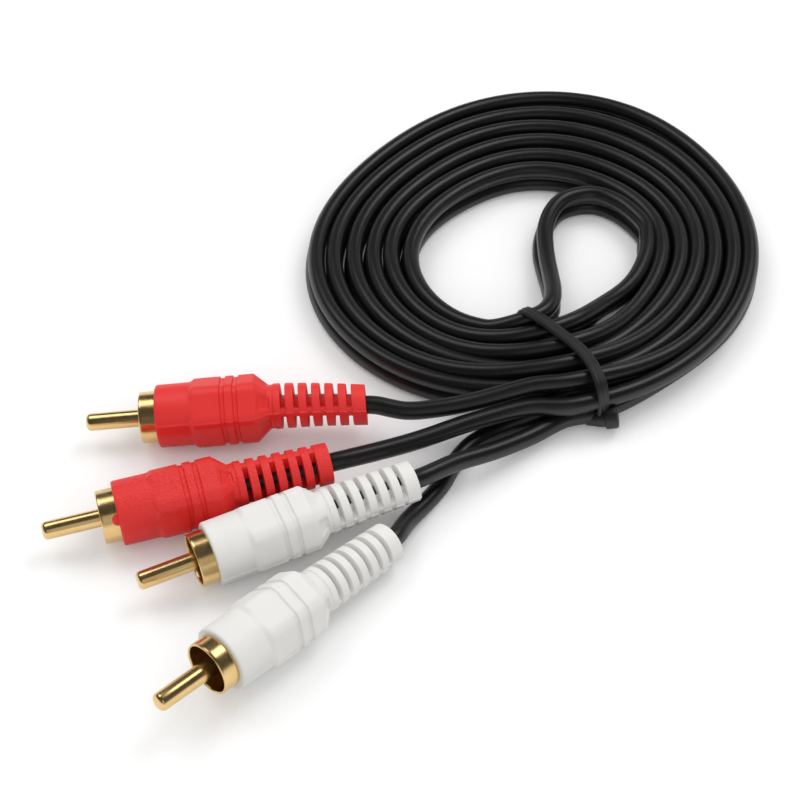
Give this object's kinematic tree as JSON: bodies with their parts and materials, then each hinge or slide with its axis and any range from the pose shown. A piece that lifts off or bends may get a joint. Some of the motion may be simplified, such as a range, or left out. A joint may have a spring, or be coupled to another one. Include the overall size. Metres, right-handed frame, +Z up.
{
  "type": "stereo audio lead",
  "caption": "Black twin audio cable wound in a flat coil and tied, with red and white moulded phono plugs at both ends.",
  "frame": {"origin": "on the surface that the lead lies on, under the middle of the box round the four plugs", "axes": "+Z up from the surface; +X from the plugs' pins towards the coil side, as the picture's right; +Y away from the picture's camera, from the plugs towards the coil"},
  "size_m": [0.1339, 0.1607, 0.0135],
  "materials": {
    "red_moulding": "satin moulded PVC",
    "white_moulding": "satin moulded PVC",
    "gold_plate": "gold-coloured plating, polished",
    "insulator_plastic": "moulded, matt",
    "copper_wire": "bare stranded wire",
    "black_jacket": "satin extruded PVC",
    "tie_rubber": "satin, finely ridged"
  },
  "bodies": {
    "root": {"red_plug_a_overmould": "red_moulding", "red_plug_a_ground_shell": "gold_plate", "red_plug_a_centre_pin": "gold_plate", "red_plug_a_insulator": "insulator_plastic", "red_plug_a_inner_core": "copper_wire", "red_plug_a_shield_wire": "copper_wire", "red_plug_a_tail_cable": "black_jacket", "red_plug_b_overmould": "red_moulding", "red_plug_b_ground_shell": "gold_plate", "red_plug_b_centre_pin": "gold_plate", "red_plug_b_insulator": "insulator_plastic", "red_plug_b_inner_core": "copper_wire", "red_plug_b_shield_wire": "copper_wire", "red_plug_b_tail_cable": "black_jacket", "white_plug_a_overmould": "white_moulding", "white_plug_a_ground_shell": "gold_plate", "white_plug_a_centre_pin": "gold_plate", "white_plug_a_insulator": "insulator_plastic", "white_plug_a_inner_core": "copper_wire", "white_plug_a_shield_wire": "copper_wire", "white_plug_a_tail_cable": "black_jacket", "white_plug_b_overmould": "white_moulding", "white_plug_b_ground_shell": "gold_plate", "white_plug_b_centre_pin": "gold_plate", "white_plug_b_insulator": "insulator_plastic", "white_plug_b_inner_core": "copper_wire", "white_plug_b_shield_wire": "copper_wire", "white_plug_b_tail_cable": "black_jacket", "twin_cable_coil": "black_jacket", "twin_cable_fold_loop": "black_jacket", "cable_tie": "tie_rubber"}
  },
  "joints": []
}
